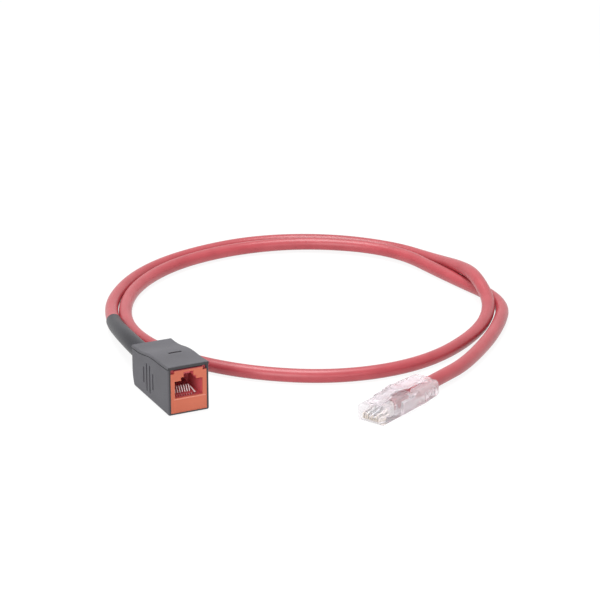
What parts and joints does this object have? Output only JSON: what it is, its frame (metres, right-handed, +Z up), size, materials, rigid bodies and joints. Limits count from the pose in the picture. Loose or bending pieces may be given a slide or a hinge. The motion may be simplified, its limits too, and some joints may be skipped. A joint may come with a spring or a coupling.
{
  "type": "ethernet patch cable",
  "caption": "Short ethernet patch cable: a moulded jack housing with a long strain relief at one end, a clear latching plug in a snagless boot at the other.",
  "frame": {"origin": "centre of the jack housing's footprint, on the surface that the cable lies on", "axes": "+Y from the jack face along the housing to where the cable leaves it, +Z up, X across the housing"},
  "size_m": [0.1828, 0.2178, 0.0204],
  "materials": {
    "housing": "fine matte moulded plastic",
    "jack_face": "satin moulded plastic",
    "dark_insert": "satin",
    "contact_gold": "gold plated",
    "board": "solder mask",
    "fork_metal": "tinned",
    "sleeve": "satin flexible plastic",
    "jacket": "glossy flexible plastic",
    "clear_plastic": "clear moulded polycarbonate",
    "clear_boot": "clear flexible plastic",
    "wire_blue": "wire insulation",
    "wire_orange": "wire insulation",
    "wire_green": "wire insulation",
    "wire_brown": "wire insulation"
  },
  "bodies": {
    "cable_assembly": {"housing_body": "housing", "housing_cover": "housing", "jack_frame": "jack_face", "contact_carrier": "dark_insert", "contact_leads": "contact_gold", "circuit_board": "board", "connection_block": "dark_insert", "connection_forks": "fork_metal", "termination_cap": "dark_insert", "cable_clamp": "fork_metal", "strain_relief_sleeve": "sleeve", "cable_jacket": "jacket", "plug_body": "clear_plastic", "plug_contacts": "contact_gold", "load_bar": "clear_plastic", "crimp_bar": "clear_plastic", "plug_boot": "clear_boot", "blue_pair_at_jack": "wire_blue", "orange_pair_at_jack": "wire_orange", "green_pair_at_jack": "wire_green", "brown_pair_at_jack": "wire_brown", "blue_pair_at_plug": "wire_blue", "orange_pair_at_plug": "wire_orange", "green_pair_at_plug": "wire_green", "brown_pair_at_plug": "wire_brown"},
    "plug_latch": {"plug_latch": "clear_plastic"},
    "boot_hood": {"boot_hood": "clear_boot"},
    "contact_springs": {"contact_springs": "contact_gold"}
  },
  "joints": [
    {"name": "boot_hood_press", "type": "hinge", "parent": "cable_assembly", "child": "boot_hood", "pos_m": [0.08829, -0.0435, 0.0083], "axis": [-0.4462, 0.8949, 0], "range_deg": [-3.6, 0], "stiffness_Nm_per_rad": 0.06},
    {"name": "plug_latch_hinge", "type": "hinge", "parent": "cable_assembly", "child": "plug_latch", "pos_m": [0.06036, -0.05742, 0.0071], "axis": [-0.4462, 0.8949, 0], "range_deg": [0, 5], "stiffness_Nm_per_rad": 0.05},
    {"name": "contact_springs_flex", "type": "hinge", "parent": "cable_assembly", "child": "contact_springs", "pos_m": [0, -0.0166, 0.0075], "axis": [1, 0, 0], "range_deg": [-7, 0], "stiffness_Nm_per_rad": 0.3}
  ],
  "couplings": [
    {"joint": "plug_latch_hinge", "follows": "boot_hood_press", "ratio": -1.25}
  ]
}
